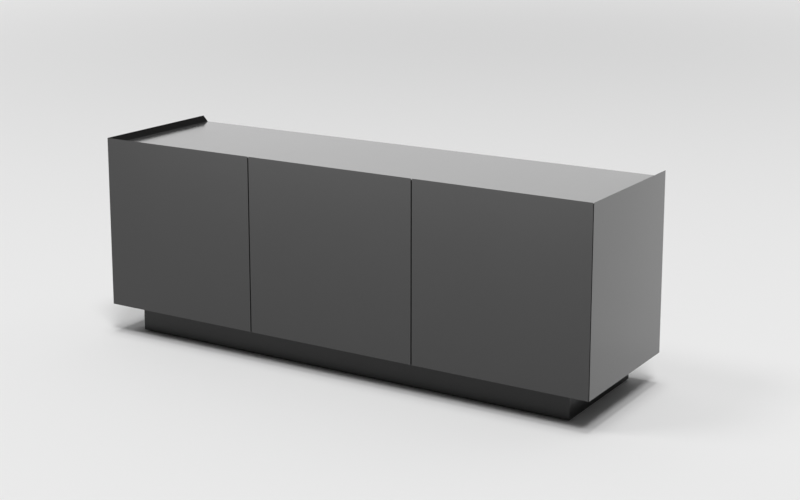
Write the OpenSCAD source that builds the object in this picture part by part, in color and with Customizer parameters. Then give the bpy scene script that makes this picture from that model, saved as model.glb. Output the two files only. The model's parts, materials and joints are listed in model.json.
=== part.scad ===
// Low dresser with three full-height, handle-less drawers on a set-back plinth.
// The fronts and sides end in 45-degree knife edges, and the top panel is sunk one
// board thickness between them, so a hand can hook a front from above and behind.
// Millimetres, +Z up, front towards -Y. The origin is at floor level, in the middle.

/* [Overall] */
// Width of the body
body_w = 1800; // [1600:10:2100]
// Depth of the body from the front face to the rear face
body_d = 512; // [480:4:600]
// Height of the knife edges above the floor
total_h = 680; // [640:5:760]
// Height of the body's underside above the floor
base_h = 98; // [80:1:110]

/* [Boards] */
// Thickness of the fronts and of the carcass panels, and the depth of the sunk top
board = 20; // [19:1:25]
// Thickness of the back panel
back_t = 8; // [6:1:10]
// Thickness of the plinth boards
plinth_t = 18; // [16:1:22]
// Thickness of the drawer box walls
box_t = 16; // [15:1:18]
// Thickness of the drawer box bottoms
box_bottom_t = 8; // [6:1:10]

/* [Fronts] */
// Distance of each partition from the middle of the body
partition_x = 305; // [280:5:340]
// Gap between two fronts
front_gap = 4; // [2:0.5:6]
// Distance of each mitred knife edge from the outer corner of the body
corner_gap = 1.5; // [1:0.25:3]
// Thickness of the bumpers between the fronts and the carcass
bumper_t = 3; // [2:0.5:4]

/* [Plinth] */
// Distance of the plinth from the body's sides
plinth_inset = 88; // [40:1:120]
// Distance of the plinth from the front face
plinth_front_setback = 58; // [40:1:80]
// Distance of the plinth from the rear face
plinth_rear_setback = 30; // [10:1:60]
// Thickness of the pads of the levelling glides
pad_t = 5; // [4:0.5:8]
// Distance that a glide can be screwed out
glide_travel = 10; // [5:1:12]

/* [Drawers] */
// Height of the drawer boxes
box_h = 400; // [300:10:400]
// Height of the drawer boxes above the floor of their bays
box_lift = 20; // [12:1:30]
// Width of a slide between a bay's wall and the drawer box
slide_w = 12.5; // [12.5:0.5:13]
// Height of a slide's centre line above the underside of the box
slide_lift = 92; // [80:1:110]

/* [Hidden] */

$fn = 48;

// Colours
lacquer = "#4b4c4e";
black = "#1a1a1b";
box_board = "#b9b8b4";
backing = "#3a3a3b";
zinc = "#c3c6c8";
rubber = "#2a2a2a";
timber = "#c9a877";

// Faces and edges of the carcass
side_x = body_w / 2;
side_in = side_x - board;
front_y = -body_d / 2;
rear_y = body_d / 2;
front_in = front_y + board;
edge_y = front_in + bumper_t;
rabbet = board / 2;
back_y = rear_y - back_t;
top_z = total_h - board;
top_under = top_z - board;
bay_z = base_h + board;
middle_z = (base_h + total_h) / 2;

// Extra length that a cutting shape runs past the face it cuts
past = 1;
// Clearance round a fixing in its hole
fit = 0.05;

// The three drawers, their bays between the boards and the ends of their fronts
LEFT = 0;
MIDDLE = 1;
RIGHT = 2;
bays = [
    [-side_in, -partition_x - board / 2],
    [-partition_x + board / 2, partition_x - board / 2],
    [partition_x + board / 2, side_in]
];
fronts = [
    [-side_x + corner_gap, -partition_x - front_gap / 2],
    [-partition_x + front_gap / 2, partition_x - front_gap / 2],
    [partition_x + front_gap / 2, side_x - corner_gap]
];

// Drawer boxes, with free space behind them and a strip of wall below their bottoms
space_behind_box = 38;
below_bottom = 12;
box_z = bay_z + box_lift;
box_rear_y = back_y - space_behind_box;
box_bottom_z = box_z + below_bottom;
groove = box_t / 2;

// Telescopic slides: three nested channels of bent sheet
slide_setback = 3;
slide_y = edge_y + slide_setback;
slide_len = box_rear_y - slide_y;
slide_z = box_z + slide_lift;
sheet = 1.2;
outer_half_h = 22.5;
channel_step = 4.4;
middle_web = 2;
outer_cage_web = 1.4;
inner_cage_web = 3.3;
drawer_lip = 3.8;
cabinet_lip = 9.5;
middle_lip = 11;
ball_r = 1.5;
ball_count = 6;
cage_len = 200;
cage_t = 0.4;
cage_lip = 6.5;
ball_inset = 2;
cage_end_gap = 10;

// Screws: shank radius, head radius, length
RADIUS = 0;
HEAD = 1;
LENGTH = 2;
back_screw = [1.6, 3.4, 25];
plinth_screw = [2.5, 5, 60];
slide_screw = [1.8, 3.4, 10];
front_screw = [2, 4, 30];
corner_screw = [2.2, 4.2, 45];

// Cam fittings and dowels. A cam sits at cam_reach from the joint of the two boards
cam_r = 7.5;
cam_h = 12.5;
cam_hole_h = 13;
cam_slot = [9, 1.2, 4];
cam_reach = 34;
bolt_thread_r = 2.5;
bolt_thread_len = 11;
bolt_shank_r = 3.5;
bolt_neck_r = 1.5;
bolt_head_r = 3;
bolt_bore_r = 4;
dowel_r = 4;
dowel_ends = [11, 23];
cam_rows = [front_y + 86, rear_y - 66];
dowel_rows = [for (t = [0.3, 0.52, 0.74]) front_y + t * body_d];

// Lines of carcass fixings: x, z, direction from the bored face to the cam, face of the cam
X = 0;
Z = 1;
DIR = 2;
FACE = 3;
fixing_lines = concat(
    [
        for (s = [-1, 1], z = [top_z - board / 2, base_h + board / 2])
            [s * side_in, z, [-s, 0, 0], [0, 0, -1]]
    ],
    [
        for (s = [-1, 1], up = [-1, 1])
            [s * partition_x, up < 0 ? top_under : bay_z, [0, 0, up], [-s, 0, 0]]
    ]
);

// Plinth
plinth_x = side_x - plinth_inset;
plinth_y = front_y + plinth_front_setback;
plinth_rear_y = rear_y - plinth_rear_setback;
plinth_in_y = plinth_y + plinth_t;
plinth_in_rear_y = plinth_rear_y - plinth_t;
block_w = 40;
pad_r = 15;
stud_r = 4;
stud_reserve = 32;
stud_len = stud_reserve + glide_travel;
insert_r = 5.5;
insert_len = 13;
glide_x = plinth_x - plinth_t - block_w / 2;
glide_y = [plinth_in_y + block_w / 2, plinth_in_rear_y - block_w / 2];
FRONT_ROW = 0;
REAR_ROW = 1;

// ---------------------------------------------------------------- shared shapes

// Box between two opposite corners
module block(low, high) {
    translate(low)
        cube(high - low);
}

// Turns a shape that was made along +Z to the direction dir
module along(dir) {
    rotate([0, acos(dir.z), atan2(dir.y, dir.x)])
        children();
}

// Outline in X and Z, extruded along Y over the whole depth
module extrude_depth(outline) {
    translate([0, rear_y + past, 0])
        rotate([90, 0, 0])
            linear_extrude(body_d + 2 * past)
                polygon(outline);
}

// Outline in Y and Z, extruded along X over the whole width
module extrude_width(outline) {
    translate([-side_x - past, 0, 0])
        rotate([90, 0, 90])
            linear_extrude(body_w + 2 * past)
                polygon(outline);
}

// Countersunk screw, driven along dir, its head flush with the surface at the point at
module screw(kind, at, dir) {
    recess = [0.9, kind[HEAD] * 1.1, 2];
    translate(at)
        along(dir)
            difference() {
                screw_shape(kind, 0);
                cube(recess, center = true);
                cube([recess.y, recess.x, recess.z], center = true);
            }
}

// Space that a screw needs in the boards
module screw_hole(kind, at, dir) {
    translate(at)
        along(dir) {
            screw_shape(kind, fit);
            translate([0, 0, -past])
                cylinder(h = past, r = kind[HEAD] + fit);
        }
}

// Head, shank and point of a screw, made larger all round by grow
module screw_shape(kind, grow) {
    point = 2 * kind[RADIUS];
    cylinder(h = kind[HEAD] - kind[RADIUS], r1 = kind[HEAD] + grow, r2 = kind[RADIUS] + grow);
    cylinder(h = kind[LENGTH] - point, r = kind[RADIUS] + grow);
    translate([0, 0, kind[LENGTH] - point])
        cylinder(h = point + grow, r1 = kind[RADIUS] + grow, r2 = 0.3 + grow);
}

// ------------------------------------------------------------- carcass fixings

function lines_at(x) = [for (line = fixing_lines) if (line[X] == x) line];
function lines_above() = [for (line = fixing_lines) if (line[Z] > middle_z) line];
function lines_below() = [for (line = fixing_lines) if (line[Z] < middle_z) line];
function spot(line, y) = [line[X], y, line[Z]];

// Screw-in bolt: thread in the bored face, shank and head in the cam's board
module cam_bolt(line, y) {
    neck_from = cam_reach - cam_r;
    head_from = cam_reach - bolt_head_r;
    translate(spot(line, y))
        along(line[DIR]) {
            translate([0, 0, -bolt_thread_len])
                cylinder(h = bolt_thread_len + past, r = bolt_thread_r);
            cylinder(h = neck_from, r = bolt_shank_r);
            translate([0, 0, neck_from])
                cylinder(h = head_from - neck_from, r = bolt_neck_r);
            translate([0, 0, head_from])
                cylinder(h = bolt_head_r, r1 = bolt_neck_r, r2 = bolt_head_r);
        }
}

// Cam: a slotted disc with a hollow for the bolt's head
module cam_lock(line, y) {
    translate(spot(line, y))
        difference() {
            translate(cam_reach * line[DIR] + board / 2 * line[FACE])
                along(-line[FACE])
                    difference() {
                        cylinder(h = cam_h, r = cam_r - fit);
                        cube(cam_slot, center = true);
                        cube([cam_slot.y, cam_slot.x, cam_slot.z], center = true);
                    }
            along(line[DIR])
                cylinder(h = cam_reach + bolt_head_r, r = bolt_shank_r + fit);
        }
}

module cam_hole(line, y) {
    translate(spot(line, y)) {
        translate(cam_reach * line[DIR] + (board / 2 + past) * line[FACE])
            along(-line[FACE])
                cylinder(h = cam_hole_h + past, r = cam_r);
        along(line[DIR]) {
            cylinder(h = cam_reach, r = bolt_bore_r);
            translate([0, 0, -bolt_thread_len - fit])
                cylinder(h = bolt_thread_len + past, r = bolt_thread_r + fit);
        }
    }
}

module dowel(line, y, grow) {
    translate(spot(line, y))
        along(line[DIR])
            translate([0, 0, -dowel_ends[0] - grow])
                cylinder(h = dowel_ends[0] + dowel_ends[1] + 2 * grow, r = dowel_r + grow);
}

// All the holes that the fixings of some lines need
module fixing_holes(lines) {
    for (line = lines) {
        for (y = cam_rows)
            cam_hole(line, y);
        for (y = dowel_rows)
            dowel(line, y, fit);
    }
}

module cam_locks() {
    color(zinc)
        for (line = fixing_lines, y = cam_rows)
            cam_lock(line, y);
}

module cam_bolts() {
    color(zinc)
        for (line = fixing_lines, y = cam_rows)
            cam_bolt(line, y);
}

module carcass_dowels() {
    color(timber)
        for (line = fixing_lines, y = dowel_rows)
            dowel(line, y, 0);
}

// --------------------------------------------------------------------- carcass

// Space of the back panel, which also cuts the rabbets round it
module back_space() {
    block(
        [-side_x + rabbet, back_y, base_h + rabbet],
        [side_x - rabbet, rear_y + past, top_z - rabbet]
    );
}

// s is -1 for the left panel and 1 for the right one
module side_panel(s) {
    outline = [
        [side_x, front_y + corner_gap],
        [side_in, front_in + corner_gap],
        [side_in, rear_y],
        [side_x, rear_y]
    ];
    bevel = [
        [s * (side_x + past), total_h + past],
        [s * (side_in - past), top_z - past],
        [s * (side_in - past), total_h + past]
    ];
    color(lacquer)
        difference() {
            translate([0, 0, base_h])
                linear_extrude(total_h - base_h)
                    polygon([for (p = outline) [s * p.x, p.y]]);
            extrude_depth(bevel);
            back_space();
            fixing_holes(lines_at(s * side_in));
            back_screw_holes();
            slide_screw_holes(s < 0 ? LEFT : RIGHT);
        }
}

module top_panel() {
    color(lacquer)
        difference() {
            block([-side_in, edge_y, top_under], [side_in, rear_y, top_z]);
            back_space();
            fixing_holes(lines_above());
            back_screw_holes();
        }
}

module bottom_panel() {
    color(lacquer)
        difference() {
            block([-side_in, edge_y, base_h], [side_in, rear_y, bay_z]);
            back_space();
            fixing_holes(lines_below());
            back_screw_holes();
            plinth_screw_holes();
        }
}

module partition(s) {
    color(lacquer)
        difference() {
            block(
                [s * partition_x - board / 2, edge_y, bay_z],
                [s * partition_x + board / 2, back_y, top_under]
            );
            fixing_holes(lines_at(s * partition_x));
            back_screw_holes();
            slide_screw_holes(MIDDLE);
            slide_screw_holes(s < 0 ? LEFT : RIGHT);
        }
}

module back_panel() {
    color(backing)
        difference() {
            intersection() {
                back_space();
                block([-side_x, back_y, 0], [side_x, rear_y, total_h]);
            }
            back_screw_holes();
        }
}

// Screws round the edge of the back panel and up its middle, as points in X and Z
back_screw_spots = concat(
    [for (s = [-1, 1], t = [0.15, 0.5, 0.85]) [s * (side_in + rabbet / 2), base_h + t * (top_z - base_h)]],
    [for (i = [-2:2], z = [bay_z - rabbet / 2, top_under + rabbet / 2]) [i * partition_x, z]],
    [for (s = [-1, 1], t = [0.35, 0.65]) [s * partition_x, base_h + t * (top_z - base_h)]]
);

module back_screw_holes() {
    for (p = back_screw_spots)
        screw_hole(back_screw, [p.x, rear_y, p.y], [0, -1, 0]);
}

module back_panel_screws() {
    color(zinc)
        for (p = back_screw_spots)
            screw(back_screw, [p.x, rear_y, p.y], [0, -1, 0]);
}

// Soft stops on the front edges of the top and bottom panels, two on each per front
module front_bumpers() {
    bumper_r = 4;
    from_end = 45;
    color(rubber)
        for (ends = fronts, x = [ends[0] + from_end, ends[1] - from_end])
            for (z = [base_h + board / 2, top_z - board / 2])
                translate([x, edge_y, z])
                    along([0, -1, 0])
                        cylinder(h = bumper_t, r = bumper_r);
}

// ---------------------------------------------------------------------- plinth

module plinth_board(low_y, high_y) {
    color(black)
        difference() {
            block([-plinth_x, low_y, pad_t], [plinth_x, high_y, base_h]);
            plinth_screw_holes();
        }
}

module plinth_end(s) {
    low_x = s < 0 ? -plinth_x : plinth_x - plinth_t;
    color(black)
        block([low_x, plinth_in_y, pad_t], [low_x + plinth_t, plinth_in_rear_y, base_h]);
}

// Cross rails below the two partitions
module plinth_rails() {
    color(black)
        for (s = [-1, 1])
            block(
                [s * partition_x - plinth_t / 2, plinth_in_y, pad_t],
                [s * partition_x + plinth_t / 2, plinth_in_rear_y, base_h]
            );
}

// Glue blocks that hold the threaded inserts of the glides
module plinth_blocks() {
    color(timber)
        for (x = [-glide_x, 0, glide_x], y = glide_y)
            difference() {
                translate([x - block_w / 2, y - block_w / 2, pad_t])
                    cube([block_w, block_w, base_h - pad_t]);
                translate([x, y, 0]) {
                    cylinder(h = pad_t + insert_len, r = insert_r + fit);
                    cylinder(h = pad_t + stud_len + past, r = stud_r + 10 * fit);
                }
            }
}

// Screws down through the bottom panel into the plinth's long boards
plinth_screw_x = [for (t = [-0.86, -0.52, 0, 0.52, 0.86]) t * plinth_x];
plinth_screw_y = [plinth_y + plinth_t / 2, plinth_rear_y - plinth_t / 2];

module plinth_screw_holes() {
    for (x = plinth_screw_x, y = plinth_screw_y)
        screw_hole(plinth_screw, [x, y, bay_z], [0, 0, -1]);
}

module plinth_screws() {
    color(zinc)
        for (x = plinth_screw_x, y = plinth_screw_y)
            screw(plinth_screw, [x, y, bay_z], [0, 0, -1]);
}

module glide_inserts() {
    color(zinc)
        for (x = [-glide_x, 0, glide_x], y = glide_y)
            translate([x, y, pad_t])
                difference() {
                    cylinder(h = insert_len, r = insert_r);
                    translate([0, 0, -past])
                        cylinder(h = insert_len + 2 * past, r = stud_r + fit);
                }
}

// Levelling glide: a chamfered pad on a stud, fully screwed in
module glide(x, row) {
    chamfer = 1;
    color(rubber)
        translate([x, glide_y[row], 0]) {
            cylinder(h = chamfer, r1 = pad_r - chamfer, r2 = pad_r);
            translate([0, 0, chamfer])
                cylinder(h = pad_t - chamfer, r = pad_r);
            cylinder(h = pad_t + stud_len, r = stud_r);
        }
}

// ---------------------------------------------------------------------- slides

// Channel of bent sheet along Y. Its web's outer face is at web, the free edges of
// its flanges are at lip, both measured from the bay's wall
module channel(web, lip, half_h, length, t) {
    open = sign(lip - web);
    rotate([90, 0, 0])
        translate([0, 0, -length])
            linear_extrude(length)
                polygon([
                    [web, -half_h],
                    [lip, -half_h],
                    [lip, -half_h + t],
                    [web + open * t, -half_h + t],
                    [web + open * t, half_h - t],
                    [lip, half_h - t],
                    [lip, half_h],
                    [web, half_h]
                ]);
}

// Repeats a part of a slide on both walls of a bay. The part is made for a wall at
// x = 0 that faces +X, with y = 0 at the front end of the slide
module on_both_walls(bay) {
    translate([bays[bay][0], slide_y, slide_z])
        children();
    translate([bays[bay][1], slide_y, slide_z])
        mirror([1, 0, 0])
            children();
}

// Places along a slide where it is screwed down
slide_screw_rows = [for (t = [0.08, 0.5, 0.92]) t * slide_len];

module slide_screw_holes(bay) {
    on_both_walls(bay)
        for (y = slide_screw_rows)
            screw_hole(slide_screw, [sheet, y, 0], [-1, 0, 0]);
}

module slide_screws() {
    color(zinc)
        for (bay = [LEFT, MIDDLE, RIGHT])
            on_both_walls(bay)
                for (y = slide_screw_rows)
                    screw(slide_screw, [sheet, y, 0], [-1, 0, 0]);
}

module slide_cabinet(bay) {
    color(zinc)
        difference() {
            on_both_walls(bay)
                channel(0, cabinet_lip, outer_half_h, slide_len, sheet);
            slide_screw_holes(bay);
        }
}

// The middle channel, with long slots in its web
module slide_middle(bay) {
    slot = [sheet + 2 * past, 46, 9];
    color(zinc)
        on_both_walls(bay)
            difference() {
                channel(middle_web, middle_lip, outer_half_h - channel_step, slide_len, sheet);
                for (t = [0.2, 0.5, 0.8])
                    translate([middle_web - past, t * slide_len - slot.y / 2, -slot.z / 2])
                        cube(slot);
            }
}

module slide_drawer(bay) {
    color(zinc)
        difference() {
            on_both_walls(bay)
                channel(slide_w, drawer_lip, outer_half_h - 2 * channel_step, slide_len, sheet);
            drawer_slide_screw_holes(bay);
        }
}

// One cage: thin sheet between two channels, with a row of balls along each flange
module ball_cage(web, half_h, y) {
    ball_x = web + cage_lip - ball_inset;
    ball_z = half_h - cage_t / 2;
    pitch = cage_len / ball_count;
    translate([0, y, 0]) {
        channel(web, web + cage_lip, half_h, cage_len, cage_t);
        for (i = [0:ball_count - 1], s = [-1, 1])
            translate([ball_x, (i + 0.5) * pitch, s * ball_z])
                sphere(r = ball_r);
    }
}

// The outer cage starts at the rear of the middle channel and the inner one at its front
module ball_cages(bay) {
    first_gap = outer_half_h - (channel_step + sheet) / 2 + cage_t / 2;
    color(zinc)
        on_both_walls(bay) {
            ball_cage(outer_cage_web, first_gap, slide_len - cage_len - cage_end_gap);
            ball_cage(inner_cage_web, first_gap - channel_step, cage_end_gap);
        }
}

// --------------------------------------------------------------------- drawers

// Faces of a drawer's box in X
function box_low(bay) = bays[bay][0] + slide_w;
function box_high(bay) = bays[bay][1] - slide_w;

// Front with a knife edge along its top, and a mitre where it meets a side panel
module front(bay) {
    low = fronts[bay][0];
    high = fronts[bay][1];
    bevel = [
        [front_y - past, total_h + past],
        [front_in + past, top_z - past],
        [front_in + past, total_h + past]
    ];
    color(lacquer)
        difference() {
            translate([0, 0, base_h])
                linear_extrude(total_h - base_h)
                    polygon([
                        [low, front_y],
                        [high, front_y],
                        [high - (bay == RIGHT ? board : 0), front_in],
                        [low + (bay == LEFT ? board : 0), front_in]
                    ]);
            extrude_width(bevel);
            front_screw_holes(bay);
        }
}

// Space of a box's bottom, which also cuts the grooves round it
module bottom_space(bay) {
    block(
        [box_low(bay) + box_t - groove, front_in + box_t - groove, box_bottom_z],
        [box_high(bay) - box_t + groove, box_rear_y - box_t + groove, box_bottom_z + box_bottom_t]
    );
}

module box_bottom(bay) {
    color(box_board)
        bottom_space(bay);
}

// Wall between the two sides of a box, from low_y towards the rear
module box_cross_wall(bay, low_y) {
    color(box_board)
        difference() {
            block(
                [box_low(bay) + box_t, low_y, box_z],
                [box_high(bay) - box_t, low_y + box_t, box_z + box_h]
            );
            bottom_space(bay);
            corner_screw_holes(bay);
            front_screw_holes(bay);
        }
}

// Side wall of a box, from low_x to the right
module box_side_wall(bay, low_x) {
    color(box_board)
        difference() {
            block([low_x, front_in, box_z], [low_x + box_t, box_rear_y, box_z + box_h]);
            bottom_space(bay);
            corner_screw_holes(bay);
            drawer_slide_screw_holes(bay);
        }
}

// Screws through the box's front wall into the front
front_screw_z = [for (t = [0.25, 0.8]) box_z + t * box_h];
function box_w(bay) = box_high(bay) - box_low(bay);
function front_screw_x(bay) = [for (t = [0.14, 0.86]) box_low(bay) + t * box_w(bay)];

module front_screw_holes(bay) {
    for (x = front_screw_x(bay), z = front_screw_z)
        screw_hole(front_screw, [x, front_in + box_t, z], [0, -1, 0]);
}

// Screws through the box's side walls into the ends of its front and rear walls
corner_screw_y = [front_in + box_t / 2, box_rear_y - box_t / 2];
corner_screw_z = [for (t = [0.13, 0.5, 0.87]) box_z + t * box_h];

module corner_screw_holes(bay) {
    for (y = corner_screw_y, z = corner_screw_z) {
        screw_hole(corner_screw, [box_low(bay), y, z], [1, 0, 0]);
        screw_hole(corner_screw, [box_high(bay), y, z], [-1, 0, 0]);
    }
}

module drawer_slide_screw_holes(bay) {
    on_both_walls(bay)
        for (y = slide_screw_rows)
            screw_hole(slide_screw, [slide_w - sheet, y, 0], [1, 0, 0]);
}

// All the screws that travel with one drawer
module drawer_screws(bay) {
    color(zinc) {
        for (x = front_screw_x(bay), z = front_screw_z)
            screw(front_screw, [x, front_in + box_t, z], [0, -1, 0]);
        for (y = corner_screw_y, z = corner_screw_z) {
            screw(corner_screw, [box_low(bay), y, z], [1, 0, 0]);
            screw(corner_screw, [box_high(bay), y, z], [-1, 0, 0]);
        }
        on_both_walls(bay)
            for (y = slide_screw_rows)
                screw(slide_screw, [slide_w - sheet, y, 0], [1, 0, 0]);
    }
}

// --------------------------------------------------------------------- drawing

side_panel(-1);  // side_panel_left
side_panel(1);  // side_panel_right
top_panel();
bottom_panel();
partition(-1);  // partition_left
partition(1);  // partition_right
back_panel();
back_panel_screws();
cam_locks();
cam_bolts();
carcass_dowels();
front_bumpers();
plinth_board(plinth_y, plinth_in_y);  // plinth_front
plinth_board(plinth_in_rear_y, plinth_rear_y);  // plinth_back
plinth_end(-1);  // plinth_left
plinth_end(1);  // plinth_right
plinth_rails();
plinth_blocks();
plinth_screws();
glide_inserts();
glide(-glide_x, FRONT_ROW);  // glide_front_left
glide(0, FRONT_ROW);  // glide_front_middle
glide(glide_x, FRONT_ROW);  // glide_front_right
glide(-glide_x, REAR_ROW);  // glide_rear_left
glide(0, REAR_ROW);  // glide_rear_middle
glide(glide_x, REAR_ROW);  // glide_rear_right
slide_screws();
slide_cabinet(LEFT);  // slide_cabinet_left
slide_cabinet(MIDDLE);  // slide_cabinet_middle
slide_cabinet(RIGHT);  // slide_cabinet_right
slide_middle(LEFT);  // slide_middle_left
slide_middle(MIDDLE);  // slide_middle_middle
slide_middle(RIGHT);  // slide_middle_right
ball_cages(LEFT);  // ball_cages_left
ball_cages(MIDDLE);  // ball_cages_middle
ball_cages(RIGHT);  // ball_cages_right
slide_drawer(LEFT);  // slide_drawer_left
slide_drawer(MIDDLE);  // slide_drawer_middle
slide_drawer(RIGHT);  // slide_drawer_right
front(LEFT);  // front_left
front(MIDDLE);  // front_middle
front(RIGHT);  // front_right
box_cross_wall(LEFT, front_in);  // box_front_left
box_cross_wall(MIDDLE, front_in);  // box_front_middle
box_cross_wall(RIGHT, front_in);  // box_front_right
box_cross_wall(LEFT, box_rear_y - box_t);  // box_back_left
box_cross_wall(MIDDLE, box_rear_y - box_t);  // box_back_middle
box_cross_wall(RIGHT, box_rear_y - box_t);  // box_back_right
box_side_wall(LEFT, box_low(LEFT));  // box_near_side_left
box_side_wall(MIDDLE, box_low(MIDDLE));  // box_near_side_middle
box_side_wall(RIGHT, box_low(RIGHT));  // box_near_side_right
box_side_wall(LEFT, box_high(LEFT) - box_t);  // box_far_side_left
box_side_wall(MIDDLE, box_high(MIDDLE) - box_t);  // box_far_side_middle
box_side_wall(RIGHT, box_high(RIGHT) - box_t);  // box_far_side_right
box_bottom(LEFT);  // box_bottom_left
box_bottom(MIDDLE);  // box_bottom_middle
box_bottom(RIGHT);  // box_bottom_right
drawer_screws(LEFT);  // drawer_screws_left
drawer_screws(MIDDLE);  // drawer_screws_middle
drawer_screws(RIGHT);  // drawer_screws_right
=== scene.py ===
"""Looks of the dresser: lacquered boards, drawer boxes, slides and fittings, on a pale floor.

Everything is in metres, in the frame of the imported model: +Z up, -Y out through the fronts.
"""
import json
import math

import bpy
import bmesh
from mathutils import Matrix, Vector


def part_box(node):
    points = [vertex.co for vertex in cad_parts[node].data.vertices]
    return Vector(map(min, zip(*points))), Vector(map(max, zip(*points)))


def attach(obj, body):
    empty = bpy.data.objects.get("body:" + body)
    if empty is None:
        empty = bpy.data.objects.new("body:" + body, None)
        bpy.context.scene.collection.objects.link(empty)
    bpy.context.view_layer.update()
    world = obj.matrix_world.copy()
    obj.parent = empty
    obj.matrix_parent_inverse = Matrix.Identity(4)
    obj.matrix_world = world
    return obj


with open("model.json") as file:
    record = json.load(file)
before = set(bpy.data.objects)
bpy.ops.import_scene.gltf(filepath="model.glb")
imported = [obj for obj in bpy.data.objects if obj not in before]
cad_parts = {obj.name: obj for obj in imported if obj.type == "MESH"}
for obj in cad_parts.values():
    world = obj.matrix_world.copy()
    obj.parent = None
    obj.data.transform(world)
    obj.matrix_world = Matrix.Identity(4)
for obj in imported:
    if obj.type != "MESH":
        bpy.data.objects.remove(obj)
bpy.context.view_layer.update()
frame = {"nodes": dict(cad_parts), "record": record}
scene = bpy.context.scene
nodes = frame["nodes"]

MM = 0.001
DRAWERS = ("left", "middle", "right")


# ---------------------------------------------------------------- small helpers

def direction(azimuth, elevation):
    """Unit vector towards a place in the sky. Azimuth 0 is the rear, +Y, and 90 is the right, +X."""
    a, e = math.radians(azimuth), math.radians(elevation)
    return Vector((math.sin(a) * math.cos(e), math.cos(a) * math.cos(e), math.sin(e)))


class Graph:
    """A node tree under construction."""

    def __init__(self, tree):
        self.tree = tree
        tree.nodes.clear()

    def node(self, kind, inputs=None, **settings):
        """Adds a node. An input is a value, or an output socket to link from."""
        node = self.tree.nodes.new(kind)
        for name, value in settings.items():
            setattr(node, name, value)
        for name, value in (inputs or {}).items():
            socket = node.inputs[name]
            if isinstance(value, bpy.types.NodeSocket):
                self.tree.links.new(value, socket)
            else:
                socket.default_value = value
        return node

    def math(self, operation, *values):
        """Output of a Math node."""
        inputs = dict(enumerate(values))
        return self.node("ShaderNodeMath", inputs, operation=operation).outputs[0]

    def vector(self, operation, *values):
        """Output of a Vector Math node."""
        inputs = dict(enumerate(values))
        node = self.node("ShaderNodeVectorMath", inputs, operation=operation)
        return node.outputs["Value" if operation in ("DOT_PRODUCT", "DISTANCE") else "Vector"]

    def remap(self, value, low, high, from_low=0.0, from_high=1.0, ease="LINEAR"):
        """value, mapped from one range to another and held inside it."""
        inputs = {
            "Value": value,
            "From Min": from_low,
            "From Max": from_high,
            "To Min": low,
            "To Max": high,
        }
        return self.node("ShaderNodeMapRange", inputs, interpolation_type=ease).outputs["Result"]

    def noise(self, vector, scale, detail=3.0, roughness=0.5):
        """Noise from 0 to 1 whose features are about 1 / scale metres wide."""
        inputs = {"Vector": vector, "Scale": scale, "Detail": detail, "Roughness": roughness}
        return self.node("ShaderNodeTexNoise", inputs).outputs["Fac"]

    def shade(self, factor, dark, light):
        """Colour between two colours."""
        mix = self.node("ShaderNodeMix", data_type="RGBA")
        self.tree.links.new(factor, mix.inputs["Factor"])
        mix.inputs["A"].default_value = (*dark, 1)
        mix.inputs["B"].default_value = (*light, 1)
        return mix.outputs["Result"]

    def bump(self, height, depth, strength=1.0):
        """Normal from a height of 0 to 1, scaled to a depth in metres."""
        inputs = {"Height": height, "Distance": depth, "Strength": strength}
        return self.node("ShaderNodeBump", inputs).outputs["Normal"]

    def finish(self, **sockets):
        """Ends the tree in a Principled shader. A socket's name has _ in place of each space."""
        inputs = {name.replace("_", " "): value for name, value in sockets.items()}
        surface = self.node("ShaderNodeBsdfPrincipled", inputs)
        self.node("ShaderNodeOutputMaterial", {"Surface": surface.outputs[0]})


def material(name):
    """A new material, the graph to build it in, and its object coordinates."""
    made = bpy.data.materials.new(name)
    made.use_nodes = True
    graph = Graph(made.node_tree)
    return made, graph, graph.node("ShaderNodeTexCoord").outputs["Object"]


def grey(value, warmth=0.0):
    """A colour near a grey, a little warmer for a warmth above 0 and cooler below it."""
    return (value * (1 + warmth), value, value * (1 - warmth))


# ----------------------------------------------------------------------- camera

FOCAL_IN_WIDTHS = 1554 / 800
SENSOR_WIDTH = 36.0
CAMERA_PLACE = (2.668, -4.099, 1.671)
CAMERA_AZIMUTH = 32.01
CAMERA_ELEVATION = 11.34
CAMERA_SHIFT_Y = -0.125

camera_data = bpy.data.cameras.new("camera")
camera_data.sensor_width = SENSOR_WIDTH
camera_data.lens = FOCAL_IN_WIDTHS * SENSOR_WIDTH
camera_data.shift_y = CAMERA_SHIFT_Y
camera = bpy.data.objects.new("camera", camera_data)
scene.collection.objects.link(camera)
camera.location = CAMERA_PLACE
camera.rotation_euler = (math.radians(90 - CAMERA_ELEVATION), 0, math.radians(CAMERA_AZIMUTH))
scene.camera = camera
scene.view_settings.view_transform = "Standard"


# ------------------------------------------------------------------------ floor

FLOOR_RADIUS = 60.0
FLOOR_SIDES = 128
FLOOR_ALBEDO = 0.843
# Painted shade: place on the floor, and radius, of a patch behind the dresser where the floor's
# colour is darkened to stand in for dimmer light
PAINTED_SHADE_PLACE = (-3.7, 7.3, 0.0)
PAINTED_SHADE_RADIUS = 9.5
PAINTED_SHADE_ALBEDO = 0.672

floor_mesh = bpy.data.meshes.new("studio_floor")
shape = bmesh.new()
bmesh.ops.create_circle(shape, cap_ends=True, segments=FLOOR_SIDES, radius=FLOOR_RADIUS)
shape.to_mesh(floor_mesh)
shape.free()
floor = bpy.data.objects.new("studio_floor", floor_mesh)
scene.collection.objects.link(floor)

floor_material, g, at = material("pale_floor")
# Painted shade: the floor's colour darkens towards the patch behind the dresser, in place of dimmer
# light there
distance = g.vector("DISTANCE", at, PAINTED_SHADE_PLACE)
tone = g.remap(distance, 0.0, 1.0, 0.0, PAINTED_SHADE_RADIUS, "SMOOTHSTEP")
g.finish(
    Base_Color=g.shade(tone, grey(PAINTED_SHADE_ALBEDO), grey(FLOOR_ALBEDO)),
    Roughness=g.remap(g.noise(at, scale=40.0), 0.68, 0.76),
    Specular_IOR_Level=0.05,
)
floor_mesh.materials.append(floor_material)


# -------------------------------------------------------------------- materials

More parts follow.
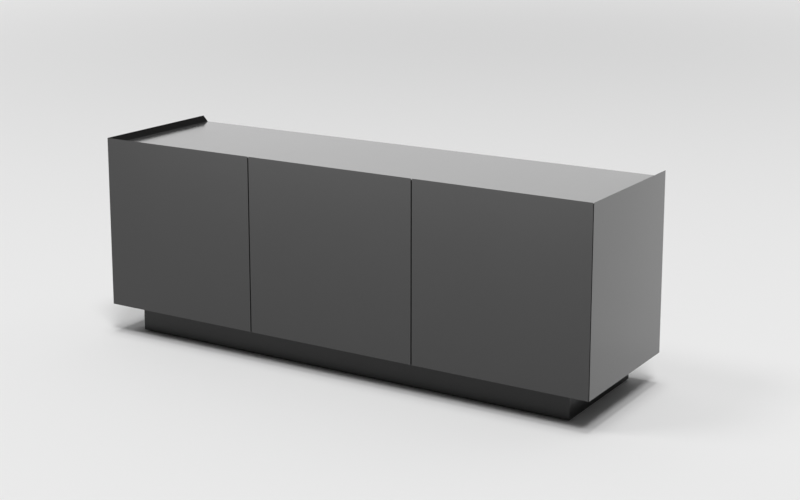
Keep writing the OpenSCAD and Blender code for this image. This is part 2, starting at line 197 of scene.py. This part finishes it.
def lacquer(name, dark, light, roughness, specular):
    """Sprayed lacquer on fibreboard: a slow drift of tone and gloss, and the finest orange peel."""
    made, g, at = material(name)
    drift = g.noise(at, scale=2.5, detail=4.0)
    sheen = g.noise(at, scale=5.0, detail=5.0)
    peel = g.noise(at, scale=150.0, detail=0.0)
    spread = 0.008
    peel_depth = 0.008 * MM
    g.finish(
        Base_Color=g.shade(drift, dark, light),
        Roughness=g.remap(sheen, roughness - spread, roughness + spread, 0.3, 0.7),
        Specular_IOR_Level=specular,
        Normal=g.bump(peel, peel_depth),
    )
    return made


def linen(name, lengthwise, upward, dark, light):
    """Melamine with a linen print: threads of uneven thickness along the board and across it.

    lengthwise and upward are axes to add up, so that one pattern serves boards along X and along Y.
    """
    thread = 1.1 * MM
    run = 16 * MM
    made, g, at = material(name)
    u = g.vector("DOT_PRODUCT", at, lengthwise)
    v = g.vector("DOT_PRODUCT", at, upward)

    def threads(across, on):
        stretched = g.node("ShaderNodeCombineXYZ", {
            "X": g.math("DIVIDE", across, thread),
            "Y": g.math("DIVIDE", on, run),
        }).outputs[0]
        return g.noise(stretched, scale=1.0, detail=1.0)

    weave = g.math("MULTIPLY", g.math("ADD", threads(u, v), threads(v, u)), 0.5)
    blotch = g.noise(at, scale=9.0, detail=4.0)
    height = g.remap(weave, 0.0, 1.0, 0.35, 0.65)
    tone = g.math("ADD", g.math("MULTIPLY", height, 0.8), g.math("MULTIPLY", blotch, 0.2))
    g.finish(
        Base_Color=g.shade(tone, dark, light),
        Roughness=g.remap(height, 0.52, 0.62),
        Specular_IOR_Level=0.4,
        Normal=g.bump(height, 0.05 * MM),
    )
    return made


def edge_banding(name, dark, light):
    """Plastic edging: a little smoother than the board, with faint lines from the trimming cutter."""
    made, g, at = material(name)
    cutter = g.noise(g.vector("MULTIPLY", at, (500.0, 500.0, 40.0)), scale=1.0, detail=2.0)
    g.finish(
        Base_Color=g.shade(g.noise(at, scale=30.0), dark, light),
        Roughness=g.remap(cutter, 0.38, 0.5),
        Normal=g.bump(cutter, 0.01 * MM),
    )
    return made


def pressed_melamine(name, dark, light, roughness):
    """Matt melamine with the fine pores of its press plate."""
    made, g, at = material(name)
    pores = g.noise(at, scale=900.0, detail=2.0, roughness=0.6)
    cloud = g.noise(at, scale=6.0, detail=5.0)
    spread = 0.06
    g.finish(
        Base_Color=g.shade(g.remap(cloud, 0.0, 1.0, 0.3, 0.7), dark, light),
        Roughness=g.remap(pores, roughness - spread, roughness + spread, 0.3, 0.7),
        Specular_IOR_Level=0.4,
        Normal=g.bump(pores, 0.04 * MM),
    )
    return made


def metal(name, stretch, dark, light, roughness, scratch_depth):
    """Zinc-plated steel.

    stretch is how fine the marks of rolling or tumbling are along each axis, per metre.
    """
    made, g, at = material(name)
    rolled = g.noise(g.vector("MULTIPLY", at, stretch), scale=1.0, detail=3.0, roughness=0.6)
    cloud = g.noise(at, scale=45.0, detail=5.0, roughness=0.6)
    both = g.math("ADD", rolled, cloud)
    g.finish(
        Base_Color=g.shade(g.math("MULTIPLY", both, 0.5), dark, light),
        Metallic=1.0,
        Roughness=g.remap(both, roughness - 0.07, roughness + 0.09, 0.7, 1.3),
        Normal=g.bump(rolled, scratch_depth),
    )
    return made


def beech(name, stretch):
    """Raw beech: long grain and short darker ray flecks.

    stretch is how fine the grain is along each axis.
    """
    dark_wood = (0.36, 0.215, 0.11)
    light_wood = (0.58, 0.39, 0.225)
    made, g, at = material(name)
    grain = g.noise(g.vector("MULTIPLY", at, stretch), scale=1.0, detail=5.0, roughness=0.55)
    flecks = g.noise(g.vector("MULTIPLY", at, [4 * s for s in stretch]), scale=1.0, detail=1.0)
    figure = g.math("SUBTRACT", grain, g.remap(flecks, 0.0, 0.35, 0.62, 0.72))
    g.finish(
        Base_Color=g.shade(g.remap(figure, 0.0, 1.0, 0.2, 0.7), dark_wood, light_wood),
        Roughness=g.remap(grain, 0.55, 0.75),
        Normal=g.bump(grain, 0.06 * MM),
    )
    return made


def moulded(name, dark, light, roughness, texture_depth):
    """Moulded plastic or rubber with the sand texture of its mould."""
    made, g, at = material(name)
    sand = g.noise(at, scale=2200.0, detail=2.0, roughness=0.6)
    haze = g.noise(at, scale=90.0)
    spread = 0.05
    g.finish(
        Base_Color=g.shade(haze, dark, light),
        Roughness=g.remap(haze, roughness - spread, roughness + spread),
        Normal=g.bump(sand, texture_depth),
    )
    return made


GREY = lacquer("grey_lacquer", grey(0.043), grey(0.048), roughness=0.15, specular=0.45)
# Black of the bevels and board ends; on the ends facing the gaps between fronts it is also painted
# shade
BLACK_BEVEL_AND_GAP_SHADE = lacquer("black_bevel_and_gap_shade", grey(0.006), grey(0.009), roughness=0.45, specular=0.12)
PLINTH_BLACK = lacquer("plinth_black", grey(0.006), grey(0.008), roughness=0.26, specular=0.42)
BACK = pressed_melamine("back_melamine", grey(0.036), grey(0.045), roughness=0.55)
BOX_TONES = grey(0.25, 0.015), grey(0.34, 0.02)
BOX_WALL = linen("box_linen_upright", (1, 1, 0), (0, 0, 1), *BOX_TONES)
BOX_FLOOR = linen("box_linen_flat", (1, 0, 0), (0, 1, 0), *BOX_TONES)
BOX_EDGE = edge_banding("box_edging", grey(0.28, 0.02), grey(0.31, 0.02))
STEEL = metal(
    "slide_steel",
    stretch=(2600, 45, 2600),
    dark=(0.50, 0.51, 0.53),
    light=(0.70, 0.71, 0.73),
    roughness=0.32,
    scratch_depth=0.006 * MM,
)
ZINC = metal(
    "zinc_fittings",
    stretch=(1500, 1500, 1500),
    dark=(0.48, 0.49, 0.50),
    light=(0.68, 0.69, 0.70),
    roughness=0.36,
    scratch_depth=0.01 * MM,
)
BEECH_ALONG = beech("beech_along", stretch=(120, 900, 900))
BEECH_UP = beech("beech_up", stretch=(700, 700, 60))
MOULD_TEXTURE = 0.02 * MM
RUBBER = moulded("bumper_rubber", grey(0.022), grey(0.034), 0.75, MOULD_TEXTURE)
PLASTIC = moulded("glide_plastic", grey(0.018), grey(0.027), 0.48, MOULD_TEXTURE)


# ------------------------------------------------------------ surfaces of nodes

# Ends closer than this are at one place
SAME_PLACE = 0.01 * MM
# Least cosine of the angle between a face's normal and the direction that it is said to look in
SAME_WAY = 0.99


def paint(node, *materials):
    """Gives a node its materials. Its faces all start with the first one."""
    mesh = nodes[node].data
    mesh.materials.clear()
    for made in materials:
        mesh.materials.append(made)
    for face in mesh.polygons:
        face.material_index = 0


def paint_facing(node, normal):
    """Puts a node's second material on the faces that look along normal, of length 1."""
    for face in nodes[node].data.polygons:
        if face.normal.dot(Vector(normal)) > SAME_WAY:
            face.material_index = 1


def paint_edges(node, axis):
    """Puts a board's second material on all its faces except the two that look along axis."""
    for face in nodes[node].data.polygons:
        if abs(face.normal[axis]) < SAME_WAY:
            face.material_index = 1


def fold_angles(mesh):
    """Angle in degrees between the faces that meet along each edge, whether or not they share it."""

    def key(ends):
        return frozenset(tuple(round(c / SAME_PLACE) for c in mesh.vertices[v].co) for v in ends)

    meeting = {}
    for face in mesh.polygons:
        for ends in face.edge_keys:
            meeting.setdefault(key(ends), []).append(face.normal)
    pairs = [meeting[key(edge.vertices)] for edge in mesh.edges]
    return [math.degrees(normals[0].angle(normals[-1], 0.0)) for normals in pairs]


def soften(node, width, weight=lambda ends: 1.0):
    """Joins a node's triangles into flat faces and takes the sharpness off its long edges.

    weight gives the share of width that an edge gets, from the places of its two ends.
    """
    shortest = 12 * MM
    least_fold = 30
    flat_within = 0.5
    piece = nodes[node]
    mesh = piece.data
    mesh.shade_smooth()
    custom = mesh.attributes.get("custom_normal")
    if custom:
        mesh.attributes.remove(custom)
    folds = fold_angles(mesh)
    weights = mesh.attributes.new("bevel_weight_edge", "FLOAT", "EDGE").data
    sharp_edge = mesh.attributes.get("sharp_edge")
    sharp = (sharp_edge or mesh.attributes.new("sharp_edge", "BOOLEAN", "EDGE")).data
    for edge in mesh.edges:
        ends = [mesh.vertices[v].co for v in edge.vertices]
        long = (ends[1] - ends[0]).length > shortest
        folded = folds[edge.index] > least_fold
        weights[edge.index].value = weight(ends) if folded and long else 0.0
        sharp[edge.index].value = folded and not long
    weld = piece.modifiers.new("weld", "WELD")
    weld.merge_threshold = SAME_PLACE
    flat = piece.modifiers.new("flat_faces", "DECIMATE")
    flat.decimate_type = "DISSOLVE"
    flat.angle_limit = math.radians(flat_within)
    flat.delimit = {"MATERIAL", "SHARP"}
    bevel = piece.modifiers.new("soft_edges", "BEVEL")
    bevel.width = width
    bevel.segments = 3
    bevel.limit_method = "WEIGHT"
    bevel.use_clamp_overlap = False
    bevel.material = 0
    normals = piece.modifiers.new("normals", "WEIGHTED_NORMAL")
    normals.keep_sharp = True


FINISHES = {
    "grey_lacquer": GREY,
    "plinth_black": PLINTH_BLACK,
    "back_board": BACK,
    "box_board": BOX_WALL,
    "box_bottom": BOX_FLOOR,
    "slide_steel": STEEL,
    "zinc_fittings": ZINC,
    "timber": BEECH_UP,
    "bumper_rubber": RUBBER,
    "glide_plastic": PLASTIC,
}
# How far the long edges of each kind of board are rounded
SOFT_EDGES = {
    "grey_lacquer": 0.4 * MM,
    "plinth_black": 0.6 * MM,
    "back_board": 0.3 * MM,
    "box_board": 0.8 * MM,
    "box_bottom": 0.3 * MM,
}
slot_of = {part["node"]: part["material_slot"] for part in frame["record"]["subparts"]}

for node, slot in slot_of.items():
    paint(node, FINISHES[slot])
paint("carcass_dowels", BEECH_ALONG)

# The lacquered boards are black all through: their bevels, mitres and ends show it. On the fronts'
# ends that face the gaps between the fronts, this black is also painted shade that darkens the gaps
for drawer in DRAWERS:
    paint("front_" + drawer, GREY, BLACK_BEVEL_AND_GAP_SHADE)
    paint_edges("front_" + drawer, 1)
    for wall in ("box_front_", "box_back_", "box_near_side_", "box_far_side_"):
        paint(wall + drawer, BOX_WALL, BOX_EDGE)
        paint_facing(wall + drawer, (0, 0, 1))
for side in ("left", "right"):
    paint("side_panel_" + side, GREY, BLACK_BEVEL_AND_GAP_SHADE)
    paint_edges("side_panel_" + side, 0)

for node, slot in slot_of.items():
    if slot in SOFT_EDGES:
        soften(node, SOFT_EDGES[slot])

# Bent sheet: round outside the bend of a channel, tighter inside it, barely broken at its free edges
SHEET = 1.2 * MM
BEND_OUTSIDE = 1.8 * MM
INSIDE_SHARE = 0.34
FREE_EDGE_SHARE = 0.08


def bend_weights(node, web_faces):
    """Bevel weights of a pair of channels whose webs have their outer faces at web_faces in X."""
    near = 0.2 * MM
    low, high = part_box(node)

    def weight(ends):
        across = abs(ends[0].x - ends[1].x) > near or abs(ends[0].z - ends[1].z) > near
        from_web = min(abs(ends[0].x - face) for face in web_faces)
        from_rim = min(ends[0].z - low.z, high.z - ends[0].z)
        if across or from_rim > SHEET + near:
            return 0.0
        if from_web < near and from_rim < near:
            return 1.0
        if abs(from_web - SHEET) < near and abs(from_rim - SHEET) < near:
            return INSIDE_SHARE
        return FREE_EDGE_SHARE

    return weight


def web_faces(kind, drawer):
    """Where the outer faces of a slide member's two webs are in X."""
    if kind == "slide_drawer_":
        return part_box("box_near_side_" + drawer)[0].x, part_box("box_far_side_" + drawer)[1].x
    low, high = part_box(kind + drawer)
    return low.x, high.x


for drawer in DRAWERS:
    for kind in ("slide_cabinet_", "slide_middle_", "slide_drawer_"):
        node = kind + drawer
        soften(node, BEND_OUTSIDE, bend_weights(node, web_faces(kind, drawer)))


# ----------------------------------------------------------------- extra pieces

def plate(name, outline, thickness, soft, made):
    """A flat piece with softened edges, thickness deep from x = 0 towards +X.

    Its outline in Y and Z runs anticlockwise, as seen from +X.
    """
    count = len(outline)
    corners = [(x, y, z) for x in (0, thickness) for y, z in outline]
    near = range(count)
    far = range(count, 2 * count)
    rim = [(i, (i + 1) % count, (i + 1) % count + count, i + count) for i in near]
    mesh = bpy.data.meshes.new(name)
    mesh.from_pydata(corners, [], [tuple(reversed(near)), tuple(far), *rim])
    mesh.materials.append(made)
    piece = bpy.data.objects.new(name, mesh)
    scene.collection.objects.link(piece)
    bevel = piece.modifiers.new("soft_edges", "BEVEL")
    bevel.width = soft
    bevel.segments = 2
    bevel.limit_method = "ANGLE"
    bevel.angle_limit = math.radians(50)
    return piece


def arc(centre, radius, start, end, steps):
    """Points on an arc, with its angles in degrees."""
    angles = [math.radians(start + (end - start) * i / steps) for i in range(steps + 1)]
    return [(centre[0] + radius * math.cos(a), centre[1] + radius * math.sin(a)) for a in angles]


# Release lever of a slide: a bar with a round eye at one end and a curved finger tab at the other
LEVER_EYE = 4.5 * MM
LEVER_HALF_LENGTH = 34 * MM
LEVER_TAB = 9.0 * MM
LEVER_TAB_END = 2.2 * MM
LEVER_BAR_HALF = 2.4 * MM
LEVER_T = 1.6 * MM
LEVER_SOFT = 0.3 * MM
LEVER_FROM_FRONT = 150 * MM


def lever_outline():
    """Corners of a lever in Y and Z, about its middle."""
    eye = (LEVER_HALF_LENGTH, 0.0)
    bend = (-LEVER_HALF_LENGTH, LEVER_TAB)
    inner = LEVER_TAB - LEVER_BAR_HALF
    outer = LEVER_TAB + LEVER_BAR_HALF
    tip = (bend[0] - (inner + outer) / 2, bend[1] + LEVER_TAB_END)
    return (
        arc(eye, LEVER_EYE, -150, 150, 20)
        + arc(bend, inner, -90, -180, 10)
        + arc(tip, LEVER_TAB_END, 0, 180, 8)
        + arc(bend, outer, -180, -90, 12)
    )


def slide_lever(drawer, side, web_face, inward):
    """A lever on the side of a slide's web that faces away from the drawer's box.

    inward is +1 where the box lies towards +X of the slide, and -1 where it lies towards -X.
    """
    lever = plate(f"slide_lever_{drawer}_{side}", lever_outline(), LEVER_T, LEVER_SOFT, PLASTIC)
    low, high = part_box("slide_drawer_" + drawer)
    left_face = web_face - (SHEET + LEVER_T) if inward > 0 else web_face + SHEET
    lever.location = (left_face, low.y + LEVER_FROM_FRONT, (low.z + high.z) / 2)
    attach(lever, "drawer_" + drawer)
    return lever


levers = []
for drawer in DRAWERS:
    near_face, far_face = web_faces("slide_drawer_", drawer)
    levers.append(slide_lever(drawer, "near", near_face, 1))
    levers.append(slide_lever(drawer, "far", far_face, -1))


# ----------------------------------------------------------------------- lights

def collection_of(name, members):
    """A collection that a lamp's light is kept to."""
    made = bpy.data.collections.new(name)
    scene.collection.children.link(made)
    for member in members:
        made.objects.link(member)
    return made


def lamp(name, kind, energy, receivers, **settings):
    """A lamp whose light falls only on the receivers. Each still casts the dresser's shadow."""
    data = bpy.data.lights.new(name, kind)
    data.energy = energy
    for setting, value in settings.items():
        setattr(data, setting, value)
    made = bpy.data.objects.new(name, data)
    scene.collection.objects.link(made)
    made.light_linking.receiver_collection = receivers
    return made


def aim(lamp_object, towards_lamp):
    """Turns a lamp so that its light comes from the direction towards_lamp."""
    lamp_object.rotation_euler = Vector(towards_lamp).to_track_quat("Z", "Y").to_euler()


dresser_parts = collection_of("dresser_parts", list(nodes.values()) + levers)
above_plinth = [piece for node, piece in nodes.items() if not node.startswith("plinth_")]
parts_above_plinth = collection_of("parts_above_plinth", above_plinth + levers)
stage_parts = collection_of("stage_parts", [floor])

# Soft lamps far away: receivers, azimuth, elevation, width across the sky in degrees, strength
FAR_LAMPS = {
    "floor_top": (stage_parts, 0, 90, 10, 1.132),
    "floor_key": (stage_parts, 136, 66, 15, 1.057),
    "floor_rear": (stage_parts, -15, 28, 112, 0.597),
    "floor_left": (stage_parts, -125, 55, 19, 0.425),
    "rear": (dresser_parts, -32, 11, 50, 0.695),
    "zenith": (dresser_parts, 0, 90, 60, 0.5),
    "front": (dresser_parts, 180, 50, 50, 0.1),
}
for name, (receivers, azimuth, elevation, width, strength) in FAR_LAMPS.items():
    sun = lamp(name, "SUN", strength, receivers, angle=math.radians(width))
    aim(sun, direction(azimuth, elevation))

# Softboxes near the dresser: receivers, place, aim, width, height, watts
SOFTBOXES = {
    "left_box": (dresser_parts, (-3.2, -0.6, 1.8), (-0.5, 0, 0.4), 3.2, 2.4, 69),
    "right_box": (parts_above_plinth, (3.2, -0.2, 1.3), (0.9, 0, 0.4), 3.2, 2.2, 42),
    "right_rear_box": (parts_above_plinth, (2.0, 0.9, 0.75), (0.9, 0.1, 0.4), 1.0, 0.8, 49),
    "front_strip": (dresser_parts, (0.4, -0.6, 1.15), (0.4, -0.27, 0.6), 2.4, 0.2, 14.5),
}
for name, (receivers, place, target, wide, high, watts) in SOFTBOXES.items():
    box = lamp(name, "AREA", watts, receivers, shape="RECTANGLE", size=wide, size_y=high)
    box.location = place
    box.visible_camera = False
    # The lacquer would mirror it as a white patch
    box.visible_glossy = False
    aim(box, Vector(place) - Vector(target))

# Strength of the sky as a light, and as the camera sees it above the floor's horizon
SKY_STRENGTH = 0.12
SKY_SEEN = 0.78

world = bpy.data.worlds.new("studio")
world.use_nodes = True
scene.world = world
g = Graph(world.node_tree)
seen = g.node("ShaderNodeLightPath").outputs["Is Camera Ray"]
strength = g.remap(seen, SKY_STRENGTH, SKY_SEEN)
sky = g.node("ShaderNodeBackground", {"Color": (1, 1, 1, 1), "Strength": strength})
g.node("ShaderNodeOutputWorld", {"Surface": sky.outputs[0]})
